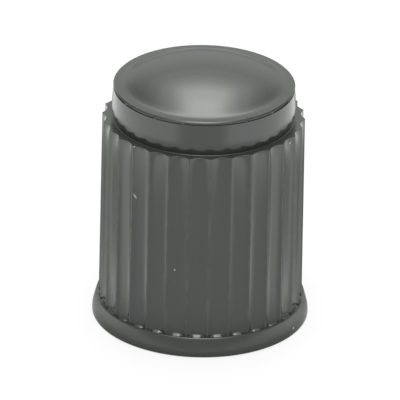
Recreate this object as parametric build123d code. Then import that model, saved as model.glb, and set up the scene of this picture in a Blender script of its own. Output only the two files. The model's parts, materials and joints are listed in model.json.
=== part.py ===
from build123d import *
import math
import os

# Tyre valve cap, moulded as one piece. Millimetres, +Z up.
# The cap stands on its mouth: the origin is the centre of the mouth, in the plane of its rim.

# Overall height. The width follows from the bore and the walls around it.
cap_height = 12.6

# Foot flange: a plain ring that flares towards the mouth
flange_wall = 0.945  # at the foot, from the lead-in out to the edge before it is rounded
flange_height = 0.95
flange_flare = 6.0  # degrees from the axis
flange_top_round = 0.08
flange_foot_round = 0.05

# Fluted grip: narrow round lands between concave flutes that deepen towards the ledge, so that lands
# and flutes both have the draft that lets the grip leave its mould
flange_ledge_width = 0.21  # from the grip's lands out to the flange's upper edge
grip_draft = 0.29  # degrees from the axis
flute_count = 30
flute_foot_depth = 0.12
flute_top_depth = 0.19
land_width = 0.16
land_edge_round = 0.03

# Collar: the plain band above the grip's flat ledge
ledge_width = 0.47  # from the collar's foot out to the grip's lands
collar_height = 1.64  # from the ledge up to the lip
collar_draft = 1.8  # degrees from the axis
collar_foot_round = 0.03

# Lip and dome: a fine groove marks the mould's parting line, and a flat lip edges the dome
groove_height = 0.1
groove_depth = 0.08
lip_thickness = 0.1
lip_width = 0.4
lip_edge_round = 0.07
dome_height = 1.05

# Threaded bore: the standard valve thread, 32 turns to the inch, bored here at the thread's crests
stem_thread_diameter = 7.75
thread_play = 0.06  # radial play between the stem's crests and the cap's roots
thread_depth = 0.42  # from the cap's roots in to its crests
lead_in_play = 0.12  # from the cap's roots out to the plain lead-in
lead_in_depth = 0.8
mouth_chamfer = 0.15
seat_width = 0.38  # shoulder that meets the end of the valve stem
pocket_depth = 2.55  # blind end above the shoulder, clear of the valve's core pin
pocket_roof_round = 0.5
roof_thickness = 1.4  # under the middle of the dome

# Levels above the mouth
lip_level = cap_height - dome_height
groove_top_level = lip_level - lip_thickness
groove_foot_level = groove_top_level - groove_height
ledge_level = lip_level - collar_height
grip_height = ledge_level - flange_height
roof_level = cap_height - roof_thickness
seat_level = roof_level - pocket_depth

# Inner radii, from the mouth up
thread_root_radius = stem_thread_diameter / 2 + thread_play
thread_crest_radius = thread_root_radius - thread_depth
lead_in_radius = thread_root_radius + lead_in_play
thread_start_level = lead_in_depth + lead_in_radius - thread_crest_radius
pocket_radius = thread_crest_radius - seat_width

# Outer radii, from the mouth up
flange_diameter = 2 * (lead_in_radius + flange_wall)
flange_radius = flange_diameter / 2
flange_top_radius = flange_radius - flange_height * math.tan(math.radians(flange_flare))
land_foot_radius = flange_top_radius - flange_ledge_width
land_top_radius = land_foot_radius - grip_height * math.tan(math.radians(grip_draft))
collar_foot_radius = land_top_radius - ledge_width
collar_wall_height = groove_foot_level - ledge_level
collar_top_radius = collar_foot_radius - collar_wall_height * math.tan(math.radians(collar_draft))
lip_radius = collar_top_radius
lip_inner_radius = lip_radius - lip_width
dome_radius = (lip_inner_radius**2 + dome_height**2) / (2 * dome_height)


def rounded(outline, corners):
    """A flat outline with the named corners rounded, each to its own radius."""
    for corner, radius in corners.items():
        vertex = outline.vertices().sort_by_distance(corner)[0]
        outline = fillet(vertex, radius)
    return outline


def turned(outline):
    """Solid of revolution about the cap's axis, from a flat outline of radius and height."""
    return revolve(Plane.XZ * outline, Axis.Z)


def grip_section(land_radius, flute_depth):
    """Cross-section of the grip: a disc with a ring of concave flutes and rounded land edges."""
    half_flute = math.pi / flute_count - land_width / (2 * land_radius)
    half_chord = land_radius * math.sin(half_flute)
    sagitta = flute_depth - land_radius * (1 - math.cos(half_flute))
    flute_radius = (half_chord**2 + sagitta**2) / (2 * sagitta)
    flute_axis_radius = land_radius - flute_depth + flute_radius
    first_flute = 180 / flute_count
    flutes = PolarLocations(flute_axis_radius, flute_count, first_flute) * Circle(flute_radius)
    section = Circle(land_radius) - flutes
    return fillet(section.vertices(), land_edge_round)


def flange():
    """Foot ring of the cap."""
    foot = (flange_radius, 0)
    top = (flange_top_radius, flange_height)
    outline = Polygon((0, 0), foot, top, (0, flange_height), align=None)
    return turned(rounded(outline, {foot: flange_foot_round, top: flange_top_round}))


def grip():
    """Fluted body, drawn from its wider foot to its ledge."""
    foot = Pos(0, 0, flange_height) * grip_section(land_foot_radius, flute_foot_depth)
    top = Pos(0, 0, ledge_level) * grip_section(land_top_radius, flute_top_depth)
    return loft([foot, top], ruled=True)


def crown():
    """Collar, parting-line groove, lip and dome."""
    corner = math.radians(90 - collar_draft) / 2
    foot_run = collar_foot_round * math.tan(corner)
    foot_rise = foot_run * math.cos(math.radians(collar_draft))
    foot_step = foot_run * math.sin(math.radians(collar_draft))
    foot_outer = (collar_foot_radius + foot_run, ledge_level)
    foot_upper = (collar_foot_radius - foot_step, ledge_level + foot_rise)
    lip_edge = (lip_radius, lip_level)
    lip_inner = (lip_inner_radius, lip_level)
    dome_top = (0, cap_height)
    sides = Polyline(
        foot_upper,
        (collar_top_radius, groove_foot_level),
        (lip_radius - groove_depth, groove_foot_level + groove_height / 2),
        (lip_radius, groove_top_level),
        lip_edge,
        lip_inner,
    )
    dome = RadiusArc(lip_inner, dome_top, -dome_radius)
    middle = Polyline(dome_top, (0, ledge_level), foot_outer)
    foot = RadiusArc(foot_outer, foot_upper, collar_foot_round)
    outline = make_face(sides + dome + middle + foot)
    return turned(rounded(outline, {lip_edge: lip_edge_round}))


def bore():
    """Room inside the cap: chamfered mouth, lead-in, threaded bore, seat and blind pocket."""
    roof_edge = (pocket_radius, roof_level)
    outline = Polygon(
        (0, 0),
        (lead_in_radius + mouth_chamfer, 0),
        (lead_in_radius, mouth_chamfer),
        (lead_in_radius, lead_in_depth),
        (thread_crest_radius, thread_start_level),
        (thread_crest_radius, seat_level),
        (pocket_radius, seat_level),
        roof_edge,
        (0, roof_level),
        align=None,
    )
    return turned(rounded(outline, {roof_edge: pocket_roof_round}))


valve_cap = flange() + grip() + crown() - bore()
valve_cap.label = "valve_cap"

os.makedirs("parts", exist_ok=True)
export_step(valve_cap, "parts/valve_cap.step")
print("cap height", round(valve_cap.bounding_box().size.Z, 3), "volume", round(valve_cap.volume, 2))
print("flange diameter", round(flange_diameter, 3), "thread crest radius", round(thread_crest_radius, 3))
print("threaded from", round(thread_start_level, 3), "to", round(seat_level, 3))
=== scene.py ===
# %% [markdown]
# # A tyre valve cap
# The object is one small plastic moulding that screws on to the end of a tyre's valve: a fluted grip on a
# plain foot flange, a flat ledge, a smooth collar and a shallow dome, with a threaded blind bore below.
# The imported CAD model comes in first, as a frame that stays where it is. The piece made here stands in
# the same place, in the same metres, so nothing has to be fitted afterwards.

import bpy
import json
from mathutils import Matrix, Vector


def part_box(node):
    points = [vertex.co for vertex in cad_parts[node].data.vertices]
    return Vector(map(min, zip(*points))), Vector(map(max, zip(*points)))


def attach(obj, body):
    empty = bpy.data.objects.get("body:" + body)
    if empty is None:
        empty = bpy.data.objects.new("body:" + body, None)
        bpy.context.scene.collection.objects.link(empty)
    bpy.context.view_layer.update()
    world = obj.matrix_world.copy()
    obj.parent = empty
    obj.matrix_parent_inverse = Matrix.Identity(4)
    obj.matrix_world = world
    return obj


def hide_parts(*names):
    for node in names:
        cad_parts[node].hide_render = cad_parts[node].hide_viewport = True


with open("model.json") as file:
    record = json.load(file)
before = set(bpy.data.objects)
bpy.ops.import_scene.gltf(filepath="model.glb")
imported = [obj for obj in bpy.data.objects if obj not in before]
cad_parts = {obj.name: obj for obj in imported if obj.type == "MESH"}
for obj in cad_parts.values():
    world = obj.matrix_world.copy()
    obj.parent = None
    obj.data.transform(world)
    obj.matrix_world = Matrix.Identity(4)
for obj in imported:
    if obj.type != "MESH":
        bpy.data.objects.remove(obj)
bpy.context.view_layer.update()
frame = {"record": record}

# %% [markdown]
# ## An outline to turn
# A moulded cap is round, and the Screw modifier could turn its outline about the axis. But the flutes
# outside and the thread inside change the radius on the way round, so the rings are made one by one here.
# The outline is a list of corners, in millimetres of radius and level above the mouth. Each corner has
# the small radius that the mould's maker leaves on it, because no moulded edge is truly sharp, and that
# round is what catches the light. It also names the shape of the rings there.

# %% Corners of the outline
import math

MM = 0.001
corners = []


def plain(radius, level, angle):
    """A ring that is a true circle."""
    return radius


def corner(radius, level, rounding=0.0, shape=plain):
    """Adds one corner of the outline, with the radius that rounds it off."""
    corners.append((radius, level, rounding, shape))


print("sizes are in millimetres, and one is", MM, "of Blender's metre")

# %% [markdown]
# ## Dome
# The top is a shallow dome, cut in the mould as part of a ball, and a soft hollow lets it run out on a
# narrow flat lip. A dome could be a squashed sphere, but then its curve, and so the highlight on it,
# would be wrong. An arc through the lip's inner edge and the middle of the top gives the ball's true
# radius. The last steps of that arc are left out, to make room for the hollow.

# %% Dome
lowest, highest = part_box("valve_cap")
cap_height = (highest.z - lowest.z) / MM
dome_height = 1.05
dome_edge_radius = 3.73
dome_edge_round = 0.6
dome_steps = 30
hollow_steps = 3

lip_level = cap_height - dome_height
dome_radius = (dome_edge_radius**2 + dome_height**2) / (2 * dome_height)
dome_lean = math.asin(dome_edge_radius / dome_radius)
for step in range(1, dome_steps - hollow_steps + 1):
    lean = dome_lean * step / dome_steps
    corner(dome_radius * math.sin(lean), cap_height - dome_radius * (1 - math.cos(lean)))
corner(dome_edge_radius, lip_level, dome_edge_round)
print("dome radius", round(dome_radius, 2), "mm, its edge leans", round(math.degrees(dome_lean), 1), "degrees")

# %% [markdown]
# ## Lip and parting groove
# Two halves of the mould meet just under the bevelled lip. They leave a fine square groove there, which
# reads as a dark line under the lip's bright edge. In a few places a burr, plastic that crept between
# the halves, nearly fills it. A dark line could be painted on, but only a real notch keeps its shadow
# when the light or the view changes. The burrs come from a function that lifts the groove's bottom.

# %% Lip and groove
lip_width = 0.44
lip_bevel = 0.06
lip_edge_round = 0.02
lip_thickness = 0.065
groove_height = 0.115
groove_depth = 0.08
groove_round = 0.012
groove_edge_round = 0.006
burrs = [math.radians(angle) for angle in (211.9, 239.0, 258.4, 299.9, 321.1)]
burr_width = math.radians(1.3)
burr_fill = 0.9


def parting(radius, level, angle):
    """A ring at the bottom of the groove, nearly filled where a burr is left."""
    nearest = min(abs((angle - burr + math.pi) % (2 * math.pi) - math.pi) for burr in burrs)
    return radius + burr_fill * groove_depth * max(1 - nearest / burr_width, 0.0)


lip_radius = dome_edge_radius + lip_width
groove_top = lip_level - lip_thickness
groove_foot = groove_top - groove_height
corner(lip_radius - lip_bevel, lip_level, lip_edge_round)
corner(lip_radius, groove_top, groove_edge_round)
corner(lip_radius - groove_depth, groove_top, groove_round, parting)
corner(lip_radius - groove_depth, groove_foot, groove_round, parting)
print("groove from", round(groove_foot, 2), "to", round(groove_top, 2), "mm, with", len(burrs), "burrs in it")

# %% [markdown]
# ## Collar
# The plain band above the grip looks straight, but its reflections bend a little near its foot. So it
# has a slight belly, one corner with a very wide round, and draws in again below it. A small hollow
# round joins it to the ledge, which sinks a little towards the collar.

# %% Collar
collar_height = 1.64
collar_top_radius = 4.15
collar_belly_radius = 4.23
collar_belly_rise = 0.5
collar_belly_round = 2.0
collar_foot_radius = 4.15
collar_foot_round = 0.035
ledge_sink = 0.035

ledge_level = lip_level - collar_height
corner(collar_top_radius, groove_foot, groove_edge_round)
corner(collar_belly_radius, ledge_level + collar_belly_rise, collar_belly_round)
corner(collar_foot_radius, ledge_level - ledge_sink, collar_foot_round)
print("collar from", round(ledge_level, 2), "to", round(groove_foot, 2), "mm above the mouth")

# %% [markdown]
# ## Fluted grip
# Thirty flutes give the fingers a hold. From a narrow land each one falls away quickly and then flattens
# to its bottom. Cutting thirty cylinders out of a blank would give round flutes and a poor mesh. Here a
# function gives the depth at any angle, and a power of the distance from the flute's middle gives the
# flat bottom and the crisp edge at the land.

# %% Flute section
flutes = 30
flute_depth = 0.1
flute_power = 3
land_flat = 0.05
grip_radius = 4.667

flute_pitch = 2 * math.pi / flutes
half_pitch = grip_radius * flute_pitch / 2
flank_run = half_pitch - land_flat / 2
flank_lean = math.atan(flute_depth * flute_power / flank_run)


def from_land(angle):
    """Distance round the grip, in millimetres, from an angle to the middle of the nearest land."""
    return grip_radius * abs((angle + flute_pitch / 2) % flute_pitch - flute_pitch / 2)


def flute_dip(angle):
    """How far the grip dips below its lands at an angle, as a negative number of millimetres."""
    if from_land(angle) <= land_flat / 2:
        return 0.0
    from_valley = (half_pitch - from_land(angle)) / flank_run
    return flute_depth * (from_valley**flute_power - 1)


print("flutes", flute_depth, "mm deep, flanks lean", round(math.degrees(flank_lean), 1), "degrees")

# %% [markdown]
# ## Ends of the flutes
# At the ledge the flutes' bottoms are broken away a little, so the ledge ends in small scallops. A high
# power of the level keeps that to the last fraction of a millimetre. At the foot each flute runs out in
# a sloping scoop on the flange, where the tool that cut the mould came out, and the scoops give the
# flange its row of small highlights. Both are terms of one function, so the grip stays one clean skin.

# %% Ends of the flutes
flange_height = 0.905
ledge_break = 0.08
break_power = 40
scoop_reach = 0.05
scoop_slope = 1.62
scoop_fall = 0.5
scoop_power = 3


def fluted(radius, level, angle):
    """A ring of the grip: its flutes are broken away at the ledge and run out in scoops at the foot."""
    above_flange = level - flange_height
    height_share = max(above_flange / (ledge_level - flange_height), 0.0)
    valley_share = (1 - math.cos(flutes * angle)) / 2
    dip = flute_dip(angle) - ledge_break * height_share**break_power * valley_share
    scoop = scoop_reach - scoop_slope * above_flange - scoop_fall * (1 - valley_share) ** scoop_power
    return radius + max(dip, scoop)


runout_rise = (scoop_reach + flute_depth) / scoop_slope
print("scoops rise", round(runout_rise, 3), "mm up the flutes")

# %% [markdown]
# ## Rings of the grip
# The wall draws in by a fraction of a degree towards the ledge, the draft that lets it leave the mould.
# A straight wall needs few rings, so they crowd only where the flutes end, at the top and at the foot.

# %% Grip
land_foot_radius = 4.69
grip_draft = math.radians(0.29)
grip_edge_round = 0.012
grip_foot_round = 0.008
below_ledge = (0.02, 0.04, 0.07, 0.1, 0.14, 0.2, 0.3, 0.45, 0.7)
wall_steps = 6
above_runout = 0.02
runout_steps = 6


def land_radius(level):
    """Radius of the lands, which draw in towards the ledge."""
    return land_foot_radius - (level - flange_height) * math.tan(grip_draft)


runout_top = flange_height + runout_rise
levels = [ledge_level - below for below in below_ledge]
levels += [ledge_level + (runout_top - ledge_level) * step / wall_steps for step in range(1, wall_steps)]
levels += [runout_top + above_runout]
levels += [runout_top - runout_rise * step / runout_steps for step in range(runout_steps)]
corner(land_radius(ledge_level), ledge_level, grip_edge_round, fluted)
for level in levels:
    corner(land_radius(level), level, shape=fluted)
corner(land_foot_radius, flange_height, grip_foot_round, fluted)
print("lands", round(land_radius(ledge_level), 3), "to", land_foot_radius, "mm in radius")

# %% [markdown]
# ## Foot flange
# A plain ring closes the foot of the flutes. Its side leans out from a narrow upper edge and turns
# upright near the mouth. One corner with a wide round makes that turn a slight bulge, so that the light
# on the ring fades downwards instead of stopping at a line. The cap stands on its flat underside.

# %% Flange
flange_top_radius = 4.81
flange_top_round = 0.065
flange_bulge_radius = 4.983
flange_bulge_level = 0.25
flange_bulge_round = 1.2
flange_radius = 4.99
flange_foot_round = 0.07

corner(flange_top_radius, flange_height, flange_top_round)
corner(flange_bulge_radius, flange_bulge_level, flange_bulge_round)
corner(flange_radius, 0, flange_foot_round)
print("flange", flange_top_radius, "to", flange_radius, "mm in radius")

# %% [markdown]
# ## Threaded bore
# Inside is the standard valve thread, right-handed, with 32 turns to the inch. A helix swept round the
# bore would need a Boolean to join it to the wall. A groove that each ring dips into, a little further
# round on every ring, is the same form in one skin. The groove comes in through the cone of the mouth
# and dies away before the seat, and a blind pocket above clears the pin of the valve.

# %% Thread groove
thread = next(mount for mount in frame["record"]["mounts"] if mount["name"] == "valve_thread")
crest_radius = thread["dims"]["r_mm"]
inch = 25.4
turns_per_inch = 32
thread_depth = 0.42
flank_angle = math.radians(30)
root_flat = 0.13
lead_in_depth = 0.8
seat_level = 8.65
plain_turns = 0.8
fade_turns = 0.7

thread_pitch = inch / turns_per_inch
thread_flank = thread_depth * math.tan(flank_angle)
thread_turns = (seat_level - lead_in_depth) / thread_pitch - plain_turns


def threaded(radius, level, angle):
    """A ring of the bore, dipping into the helical groove where it passes."""
    turn = (level - lead_in_depth) / thread_pitch
    groove_turn = round(turn - angle / (2 * math.pi)) + angle / (2 * math.pi)
    from_groove = abs(turn - groove_turn) * thread_pitch
    sink = min(max((root_flat / 2 + thread_flank - from_groove) / thread_flank, 0.0), 1.0)
    fade = min(max((thread_turns - groove_turn) / fade_turns, 0.0), 1.0)
    return max(radius, crest_radius + thread_depth * sink * fade)


print("thread pitch", round(thread_pitch, 3), "mm, about", round(thread_turns, 1), "turns")

# %% Bore
lead_in_radius = 4.055
mouth_chamfer = 0.15
bore_edge_round = 0.02
rings_per_turn = 14
seat_width = 0.38
pocket_depth = 2.55
pocket_roof_round = 0.5
roof_middle = 0.1

corner(lead_in_radius + mouth_chamfer, 0, bore_edge_round)
corner(lead_in_radius, mouth_chamfer, bore_edge_round)
corner(lead_in_radius, lead_in_depth, bore_edge_round)
thread_rings = math.ceil((seat_level - lead_in_depth) / thread_pitch * rings_per_turn)
for step in range(1, thread_rings):
    level = lead_in_depth + (seat_level - lead_in_depth) * step / thread_rings
    corner(max(lead_in_radius - (level - lead_in_depth), crest_radius), level, shape=threaded)
corner(crest_radius, seat_level, bore_edge_round)
corner(crest_radius - seat_width, seat_level, bore_edge_round)
corner(crest_radius - seat_width, seat_level + pocket_depth, pocket_roof_round)
corner(roof_middle, seat_level + pocket_depth)
print("corners of the outline", len(corners))

# %% [markdown]
# ## From corners to rings
# Every rounded corner becomes an arc of a few rings. The arc touches both of its neighbours, so its
# middle lies on the line that halves the corner. The rest of the corners are single rings. A Bevel
# modifier could round the edges too, but one width would have to serve for all of them.

# %% Round the corners
from mathutils import Vector

round_step = math.radians(15)


def arc(before, at, after, rounding):
    """Points of the arc that rounds a corner off between its two neighbours."""
    there, onward = (before - at).normalized(), (after - at).normalized()
    turn = math.pi - there.angle(onward)
    reach = rounding * math.tan(turn / 2)
    middle = at + (there + onward).normalized() * rounding / math.cos(turn / 2)
    start, end = at + there * reach - middle, at + onward * reach - middle
    steps = max(2, math.ceil(turn / round_step))
    return [middle + start.slerp(end, step / steps) * rounding for step in range(steps + 1)]


places = [Vector(one[:2]) for one in corners]
rings = []
for index, (radius, level, rounding, shape) in enumerate(corners):
    spots = [places[index]]
    if rounding:
        spots = arc(places[index - 1], places[index], places[index + 1], rounding)
    rings += [(spot.x, spot.y, shape) for spot in spots]
print("rings", len(rings))

# %% [markdown]
# ## From rings to one closed mesh
# The grip needs many points round it, crowded where the flutes leave the lands. The plain rings need far
# fewer, so they take every fourth angle, and on the flat ledges the faces between a fine ring and a
# plain one have six points or more. The middle of the dome and the roof of the bore close with one
# small face each, so the mesh has no open edge.

# %% Angles round the axis
valley_steps = 11
crowding = 1.5
every = 4

half_flute = [0.0]
half_flute += [land_flat / 2 + flank_run * (step / valley_steps) ** crowding for step in range(valley_steps)]
across = half_flute + [half_pitch] + [2 * half_pitch - run for run in half_flute[:0:-1]]
fine_angles = [flute_pitch * flute + run / grip_radius for flute in range(flutes) for run in across]
print("angles on the grip", len(fine_angles), "and on plain rings", len(fine_angles[::every]))

# %% Join the rings
points, faces, wear = [], [], []
wear_reach = 0.09


def add_ring(radius, level, shape):
    """Adds the points of one ring and returns their numbers; on the grip it notes how exposed each is."""
    angles = fine_angles if shape in (fluted, parting) else fine_angles[::every]
    first = len(points)
    for angle in angles:
        reach = shape(radius, level, angle) * MM
        points.append((reach * math.cos(angle), reach * math.sin(angle), level * MM))
        wear.append(max(1 - from_land(angle) / wear_reach, 0.0) if shape is fluted else 0.0)
    return list(range(first, len(points)))


def join(upper, lower):
    """Adds the faces between two rings, one of which may have several points to each of the other's."""
    count = min(len(upper), len(lower))
    up, down = len(upper) // count, len(lower) // count
    for spot in range(count):
        above = [upper[(spot * up + step) % len(upper)] for step in range(up + 1)]
        below = [lower[(spot * down + step) % len(lower)] for step in range(down + 1)]
        faces.append(above[:1] + below + above[:0:-1])


numbers = [add_ring(*one) for one in rings]
faces.append(numbers[0])
for upper, lower in zip(numbers, numbers[1:]):
    join(upper, lower)
faces.append(numbers[-1][::-1])
print("points", len(points), "faces", len(faces))

# %% [markdown]
# ## The cap
# The lists become one mesh, which stands for the CAD node and rides on the only body. The wear goes along
# as an attribute of the points, for the material to read. With smooth shading alone, a flat ledge would
# shade like a cushion beside its small rounds. The Weighted Normal modifier lets the large faces decide.

# %% Make the cap
import bpy

cap_mesh = bpy.data.meshes.new("moulded_cap")
cap_mesh.from_pydata(points, [], faces)
cap_mesh.shade_smooth()
cap_mesh.attributes.new("edge_wear", "FLOAT", "POINT").data.foreach_set("value", wear)
cap = bpy.data.objects.new("moulded_cap", cap_mesh)
bpy.context.scene.collection.objects.link(cap)
even_shading = cap.modifiers.new("even_shading", "WEIGHTED_NORMAL")
even_shading.keep_sharp = True
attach(cap, "root")
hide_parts("valve_cap")
cap_mesh.calc_loop_triangles()
print("triangles", len(cap_mesh.loop_triangles))

# %% [markdown]
# ## Colours and nodes
# Colours are written as sRGB hex values, as a colour picker shows them, but Blender's sockets take linear
# light. One function turns the first into the second. Another adds a node, sets it up and links it, so a
# material reads as a list of what it is made of.

# %% Colours and nodes


def linear(hex_colour):
    """Linear RGBA from an sRGB hex colour."""
    shares = [int(hex_colour[place : place + 2], 16) / 255 for place in (1, 3, 5)]
    return [*((s / 12.92 if s <= 0.04045 else ((s + 0.055) / 1.055) ** 2.4) for s in shares), 1.0]


def add(tree, kind, inputs, **settings):
    """Adds a node with its settings; an input is a number, a colour or another node's output."""
    node = tree.nodes.new(kind)
    for name, value in settings.items():
        setattr(node, name, value)
    for name, value in inputs.items():
        if isinstance(value, bpy.types.NodeSocket):
            tree.links.new(value, node.inputs[name])
        else:
            node.inputs[name].default_value = value
    return node


print("sRGB #808080 is", round(linear("#808080")[0], 3), "in linear light")

# %% [markdown]
# ## Moulded ABS
# The cap is ABS as it came out of a polished steel mould. Its pigment goes all the way through, and gives
# back little light: a dark, slightly green grey. Most of what the eye sees is the skin, a satin gloss
# that mirrors its surroundings softly head on and strongly at the sides. One flat colour would look
# drawn, so the pigment leans a little warmer or cooler in clouds, as it does where the melt flowed.

# %% Pigment
abs_warm = "#343730"
abs_cool = "#313936"
cloud_mm = 2.2

abs_plastic = bpy.data.materials.new("abs_injection_moulded")
abs_plastic.use_nodes = True
tree = abs_plastic.node_tree
tree.nodes.clear()
where = add(tree, "ShaderNodeTexCoord", {}).outputs["Object"]
clouds = add(tree, "ShaderNodeTexNoise", {"Vector": where, "Scale": 1 / (cloud_mm * MM), "Detail": 4.0})
colour = add(
    tree,
    "ShaderNodeMix",
    {"Factor": clouds.outputs["Fac"], "A": linear(abs_warm), "B": linear(abs_cool)},
    data_type="RGBA",
)
print("pigment clouds", cloud_mm, "mm across, from", abs_warm, "to", abs_cool)

# %% [markdown]
# ## Scuffed lands
# Fingers and pockets rub the lands first, and rubbed ABS turns paler. The wear could be painted by hand.
# The mesh's own attribute already says which points stand out, and a noise breaks it into patches about
# half a millimetre long, so that the lands aren't all rubbed alike.

# %% Scuffs
scuffed = "#404542"
wear_mm = 0.6
patch_from, patch_to = 0.42, 0.62

edges = add(tree, "ShaderNodeAttribute", {}, attribute_name="edge_wear")
scuffs = add(tree, "ShaderNodeTexNoise", {"Vector": where, "Scale": 1 / (wear_mm * MM), "Detail": 3.0})
patches = add(
    tree,
    "ShaderNodeMapRange",
    {"Value": scuffs.outputs["Fac"], "From Min": patch_from, "From Max": patch_to},
)
worn = add(
    tree,
    "ShaderNodeMath",
    {0: edges.outputs["Fac"], 1: patches.outputs["Result"]},
    operation="MULTIPLY",
)
colour = add(
    tree,
    "ShaderNodeMix",
    {"Factor": worn.outputs[0], "A": colour.outputs["Result"], "B": linear(scuffed)},
    data_type="RGBA",
)
print("points that can be scuffed", sum(share > 0 for share in wear))

# %% [markdown]
# ## Chips and dirt
# A used cap has a few pale chips and dark specks. A noise would scatter hundreds alike. Each of these has
# its own place on the cap, in millimetres, and its own radius, and lies where the distance from that
# place is small. Three pale ones in a row make the short scratch on the grip.

# %% Chips and dirt
chipped = "#A6AAA7"
dirt = "#141614"
chips = [
    ((-3.008, -3.473, 7.490), 0.05),
    ((-2.969, -3.506, 7.422), 0.055),
    ((-2.930, -3.538, 7.358), 0.05),
    ((-1.070, -4.448, 4.190), 0.045),
    ((-3.030, -3.461, 9.903), 0.045),
    ((4.007, -2.112, 9.663), 0.05),
    ((4.361, -2.300, 0.320), 0.075),
]
specks = [
    ((4.253, -2.494, 0.414), 0.06),
    ((0.322, -3.329, 11.770), 0.05),
    ((-1.365, -4.443, 9.328), 0.045),
    ((-0.571, -4.581, 8.311), 0.045),
    ((3.681, -2.022, 11.109), 0.05),
]

for tone, flecks in ((chipped, chips), (dirt, specks)):
    inside = 0.0
    for place, size in flecks:
        away = add(
            tree,
            "ShaderNodeVectorMath",
            {0: where, 1: [part * MM for part in place]},
            operation="DISTANCE",
        )
        near = add(
            tree,
            "ShaderNodeMapRange",
            {"Value": away.outputs["Value"], "From Min": size * MM, "From Max": size * MM / 2},
        )
        inside = add(
            tree,
            "ShaderNodeMath",
            {0: inside, 1: near.outputs["Result"]},
            operation="MAXIMUM",
        ).outputs[0]
    colour = add(
        tree,
        "ShaderNodeMix",
        {"Factor": inside, "A": colour.outputs["Result"], "B": linear(tone)},
        data_type="RGBA",
    )
print("chips", len(chips), "and specks", len(specks))

# %% [markdown]
# ## Skin
# The mould's polish decides the gloss. ABS has an IOR of about 1.54, and a little more matches the cap's
# bright sides. A polished mould gives a roughness near 0.15, duller where the pigment's clouds lie, and
# a very fine unevenness breaks up the reflections. The real one is only a few hundredths of a millimetre
# across. It is drawn coarser and as a bump, because it is far too shallow to show in the outline.

# %% Skin
abs_ior = 1.6
smooth_skin, dull_skin = 0.15, 0.2
dull_from, dull_to = 0.3, 0.7
skin_mm = 0.07
skin_height_mm = 0.0006

gloss = add(
    tree,
    "ShaderNodeMapRange",
    {
        "Value": clouds.outputs["Fac"],
        "From Min": dull_from,
        "From Max": dull_to,
        "To Min": smooth_skin,
        "To Max": dull_skin,
    },
)
skin = add(tree, "ShaderNodeTexNoise", {"Vector": where, "Scale": 1 / (skin_mm * MM), "Detail": 3.0})
relief = add(
    tree,
    "ShaderNodeBump",
    {"Height": skin.outputs["Fac"], "Strength": 1.0, "Distance": skin_height_mm * MM},
)
shader = add(
    tree,
    "ShaderNodeBsdfPrincipled",
    {
        "Base Color": colour.outputs["Result"],
        "Roughness": gloss.outputs["Result"],
        "Normal": relief.outputs["Normal"],
        "IOR": abs_ior,
    },
)
add(tree, "ShaderNodeOutputMaterial", {"Surface": shader.outputs["BSDF"]})
cap_mesh.materials.append(abs_plastic)
print("material", abs_plastic.name, "with", len(tree.nodes), "nodes")

# %% [markdown]
# ## Table
# The cap stands on a table covered with white paper, one large square. It isn't part of the object. It
# lies a hair below the mouth, because two faces in one plane flicker where they meet.

# %% Table
table_half = 0.6
below_mouth = 0.02
square = ((-1, -1), (1, -1), (1, 1), (-1, 1))

floor_mesh = bpy.data.meshes.new("table")
floor_points = [(x * table_half, y * table_half, -below_mouth * MM) for x, y in square]
floor_mesh.from_pydata(floor_points, [], [(0, 1, 2, 3)])
floor = bpy.data.objects.new("table", floor_mesh)
bpy.context.scene.collection.objects.link(floor)
print("table", 2 * table_half, "m across")

# %% [markdown]
# ## What the grip mirrors
# Seen from a little above, the upright walls of the cap mirror the table, and a satin wall shows how
# bright it is there: bright to both sides, less so in front, and dark behind. What stood round the real
# table isn't known, so these values were matched to the tones of the grip. Dark boards beyond the table
# could do the same, but they would shade the cap as well. Here the table carries painted light and a
# painted shadow for reflections only: a glow that depends on the bearing from the cap, bright beside it
# and dark behind it. It is fixed to the table, so it stays put in other views.

# %% Brightness by bearing
# Painted light and shadow on the table, seen only in reflections.
# Bearing, where 0.25 is the front, 0.5 either side and 0.75 the back, and the brightness there.
painted_light_by_bearing = [
    (0.25, 0.52),
    (0.417, 0.52),
    (0.458, 0.75),
    (0.5, 0.85),
    (0.52, 0.56),
    (0.545, 0.25),
    (0.583, 0.13),
    (0.625, 0.1),
    (0.667, 0.07),
    (0.75, 0.06),
]

white_paper = bpy.data.materials.new("paper_matt_white")
white_paper.use_nodes = True
tree = white_paper.node_tree
tree.nodes.clear()
where = add(tree, "ShaderNodeTexCoord", {}).outputs["Object"]
spot = add(tree, "ShaderNodeSeparateXYZ", {"Vector": where})
aside = add(tree, "ShaderNodeMath", {0: spot.outputs["X"]}, operation="ABSOLUTE")
folded = add(tree, "ShaderNodeCombineXYZ", {"X": aside.outputs[0], "Y": spot.outputs["Y"]})
turn = add(tree, "ShaderNodeTexGradient", {"Vector": folded.outputs[0]}, gradient_type="RADIAL")
ramp = add(tree, "ShaderNodeValToRGB", {"Fac": turn.outputs["Fac"]})
stops = ramp.color_ramp.elements
for place, _ in painted_light_by_bearing[1:-1]:
    stops.new(place)
for stop, (place, brightness) in zip(stops, painted_light_by_bearing):
    stop.position = place
    stop.color = (brightness, brightness, brightness, 1)
print("brightness set at", len(stops), "bearings on each side")

# %% [markdown]
# ## Near and far
# The upper part of the grip mirrors the table further out, where it is painted brighter to the sides.
# Close to the flange a painted shade darkens the table, standing in for the shade the cap would cast,
# and the foot of the flange mirrors that painted shade.

# %% Near and far
# Painted light far out beside the cap and painted shade round its foot, seen only in reflections.
far_brightness = 1.1
far_from, far_to = 20, 26
aside_from, aside_to = 0.35, 0.6
foot_shade = 0.4
foot_from, foot_to = 5.5, 8.5

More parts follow.
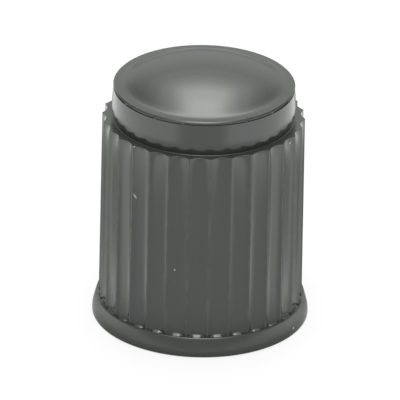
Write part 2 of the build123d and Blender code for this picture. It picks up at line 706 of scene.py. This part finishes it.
away = add(tree, "ShaderNodeVectorMath", {0: where}, operation="LENGTH")
beyond = add(
    tree,
    "ShaderNodeMapRange",
    {"Value": away.outputs["Value"], "From Min": far_from * MM, "From Max": far_to * MM},
    interpolation_type="SMOOTHSTEP",
)
bearing = add(tree, "ShaderNodeMath", {0: aside.outputs[0], 1: away.outputs["Value"]}, operation="DIVIDE")
beside = add(
    tree,
    "ShaderNodeMapRange",
    {"Value": bearing.outputs[0], "From Min": aside_from, "From Max": aside_to},
    interpolation_type="SMOOTHSTEP",
)
far = add(tree, "ShaderNodeMath", {0: beyond.outputs[0], 1: beside.outputs[0]}, operation="MULTIPLY")
around = add(
    tree,
    "ShaderNodeMix",
    {"Factor": far.outputs[0], "A": ramp.outputs["Color"], "B": far_brightness},
    data_type="FLOAT",
)
foot = add(
    tree,
    "ShaderNodeMapRange",
    {
        "Value": away.outputs["Value"],
        "From Min": foot_from * MM,
        "From Max": foot_to * MM,
        "To Min": foot_shade,
        "To Max": 1.0,
    },
)
shaded = add(tree, "ShaderNodeMath", {0: around.outputs[0], 1: foot.outputs[0]}, operation="MULTIPLY")
print("table brightens from", far_from, "mm and is shaded within", foot_to, "mm")

# %% [markdown]
# ## Matt white paper
# Uncoated paper scatters light evenly, so the eye sees a plain white with no gloss. In plain light it would
# come out grey here, and more light would bleach the cap. So for rays from the camera a share of the
# surface glows white, and the rest stays matt and keeps the cap's shadow. Rays that the cap mirrors get
# the painted light and shade that was worked out by bearing and distance.

# %% Matt white paper
paper_colour = "#E6E6E6"
paper_glow = 0.75
mirror_strength = 1.84

path = add(tree, "ShaderNodeLightPath", {}).outputs
clear = add(
    tree,
    "ShaderNodeMath",
    {0: path["Is Camera Ray"], 1: path["Is Transmission Ray"]},
    operation="MAXIMUM",
)
seen = add(tree, "ShaderNodeMath", {0: clear.outputs[0], 1: path["Is Glossy Ray"]}, operation="MAXIMUM")
share = add(tree, "ShaderNodeMath", {0: seen.outputs[0], 1: paper_glow}, operation="MULTIPLY")
# Mirrored rays see the table's painted light and shade, not its plain white.
mirrored = add(tree, "ShaderNodeMath", {0: shaded.outputs[0], 1: mirror_strength}, operation="MULTIPLY")
strength = add(
    tree,
    "ShaderNodeMix",
    {"Factor": clear.outputs[0], "A": mirrored.outputs[0], "B": 1.0},
    data_type="FLOAT",
)
matt = add(tree, "ShaderNodeBsdfDiffuse", {"Color": linear(paper_colour)})
white = add(tree, "ShaderNodeEmission", {"Color": (1, 1, 1, 1), "Strength": strength.outputs[0]})
both = add(tree, "ShaderNodeMixShader", {0: share.outputs[0], 1: matt.outputs[0], 2: white.outputs[0]})
add(tree, "ShaderNodeOutputMaterial", {"Surface": both.outputs[0]})
floor_mesh.materials.append(white_paper)
print("material", white_paper.name, "with", len(tree.nodes), "nodes")

# %% [markdown]
# ## White room
# The world is a plain white room that lights the cap evenly from all round. The dome, the lip and the
# leaning flange mirror it, and in a photograph a studio is never the same all round. So for mirrored rays
# the side walls are dark, the room darkens towards the horizon, and a bright band lies low beside the
# cap, which gives the flange its light ends. The camera itself sees pure white.

# %% Walls of the room
room_front = 0.92
side_wall = 0.35
side_from, side_to = 0.3, 0.65
band_brightness = 2.0
band_from, band_to = -0.65, -0.1
band_top_from, band_top_to = 0.1, 0.3
horizon = 0.6
horizon_to = 0.38

world = bpy.data.worlds.new("white_room")
bpy.context.scene.world = world
world.use_nodes = True
tree = world.node_tree
tree.nodes.clear()
facing = add(tree, "ShaderNodeTexCoord", {}).outputs["Generated"]
spot = add(tree, "ShaderNodeSeparateXYZ", {"Vector": facing})
aside = add(tree, "ShaderNodeMath", {0: spot.outputs["X"]}, operation="ABSOLUTE")
band = add(
    tree,
    "ShaderNodeMapRange",
    {
        "Value": spot.outputs["Y"],
        "From Min": band_from,
        "From Max": band_to,
        "To Min": room_front,
        "To Max": band_brightness,
    },
)
sides = add(
    tree,
    "ShaderNodeMapRange",
    {
        "Value": spot.outputs["Z"],
        "From Min": band_top_from,
        "From Max": band_top_to,
        "To Min": band.outputs[0],
        "To Max": side_wall,
    },
)
walls = add(
    tree,
    "ShaderNodeMapRange",
    {
        "Value": aside.outputs[0],
        "From Min": side_from,
        "From Max": side_to,
        "To Min": room_front,
        "To Max": sides.outputs[0],
    },
    interpolation_type="SMOOTHSTEP",
)
rise = add(
    tree,
    "ShaderNodeMapRange",
    {"Value": spot.outputs["Z"], "From Min": 0.0, "From Max": horizon_to, "To Min": horizon, "To Max": 1.0},
)
room = add(tree, "ShaderNodeMath", {0: walls.outputs[0], 1: rise.outputs[0]}, operation="MULTIPLY")
print("walls", room_front, "in front,", side_wall, "at the sides, horizon", horizon)

# %% Light of the room
room_light = 0.5

path = add(tree, "ShaderNodeLightPath", {}).outputs
clear = add(
    tree,
    "ShaderNodeMath",
    {0: path["Is Camera Ray"], 1: path["Is Transmission Ray"]},
    operation="MAXIMUM",
)
mirrored = add(
    tree,
    "ShaderNodeMix",
    {"Factor": path["Is Glossy Ray"], "A": room_light, "B": room.outputs[0]},
    data_type="FLOAT",
)
strength = add(
    tree,
    "ShaderNodeMix",
    {"Factor": clear.outputs[0], "A": mirrored.outputs["Result"], "B": 1.0},
    data_type="FLOAT",
)
glow = add(tree, "ShaderNodeBackground", {"Color": (1, 1, 1, 1), "Strength": strength.outputs[0]})
add(tree, "ShaderNodeOutputWorld", {"Surface": glow.outputs[0]})
print("world", world.name, "with", len(tree.nodes), "nodes")

# %% [markdown]
# ## Softbox
# One large soft lamp hangs above the cap and makes the highlight on the dome. A real softbox is brightest
# in its middle, but an area lamp is equally bright all over and would show as a hard rectangle. Six
# panels of growing size, one just above the other, add up to a lamp that fades towards its edges.

# %% Softbox
lamp_height = 0.4
lamp_step = 0.004
# Reach of each panel, in degrees from straight above the cap: to the sides, front and back; then radiance.
lamp_panels = [
    (6, 24, 4, 0.7),
    (9, 28, 18, 1.1),
    (13, 32, 29, 1.6),
    (18, 36, 35, 1.35),
    (26, 40, 43, 0.75),
    (34, 44, 54, 0.35),
]

for index, (side, front, back, radiance) in enumerate(lamp_panels):
    level = lamp_height + lamp_step * index
    half_width, near, far = (level * math.tan(math.radians(reach)) for reach in (side, -front, back))
    panel_data = bpy.data.lights.new("softbox", "AREA")
    panel_data.shape = "RECTANGLE"
    panel_data.size = 2 * half_width
    panel_data.size_y = far - near
    panel_data.energy = radiance * math.pi * panel_data.size * panel_data.size_y
    panel = bpy.data.objects.new("softbox", panel_data)
    bpy.context.scene.collection.objects.link(panel)
    panel.location = (0, (near + far) / 2, level)
    print("panel", round(panel_data.size, 3), "by", round(panel_data.size_y, 3), "m at", round(level, 3), "m")

# %% [markdown]
# ## Camera
# The camera looks down at the cap by 26 degrees from far enough away for a long lens's flat perspective.
# It could be turned by hand until it fits. Worked out from angles, it can be corrected one number at a
# time: how far round, how high, how much tilted, and where the middle of the picture lies on the cap.

# %% Camera
from mathutils import Quaternion

camera_distance = 0.4
camera_azimuth = math.radians(1.5)
camera_elevation = math.radians(26.2)
camera_roll = math.radians(1.145)
frame_width = 18.376  # of the picture, in millimetres at the cap
look_at_level = 6.5
look_left = 0.108
look_down = 0.807

outward = Vector(
    (
        math.sin(camera_azimuth) * math.cos(camera_elevation),
        -math.cos(camera_azimuth) * math.cos(camera_elevation),
        math.sin(camera_elevation),
    )
)
camera_data = bpy.data.cameras.new("camera")
camera_data.angle = 2 * math.atan(frame_width * MM / 2 / camera_distance)
camera = bpy.data.objects.new("camera", camera_data)
bpy.context.scene.collection.objects.link(camera)
camera.rotation_mode = "QUATERNION"
camera.rotation_quaternion = (-outward).to_track_quat("-Z", "Y") @ Quaternion((0, 0, 1), camera_roll)
right, up = (camera.rotation_quaternion @ Vector(axis) for axis in ((1, 0, 0), (0, 1, 0)))
aim = Vector((0, 0, look_at_level * MM)) - right * look_left * MM - up * look_down * MM
camera.location = aim + outward * camera_distance
bpy.context.scene.camera = camera
print("camera at", [round(part, 3) for part in camera.location], "m,", round(camera_data.lens, 1), "mm lens")

# %% [markdown]
# ## Finish
# The Standard view shows colours as they are written.

# %% Finish
import json

bpy.context.scene.view_settings.view_transform = "Standard"
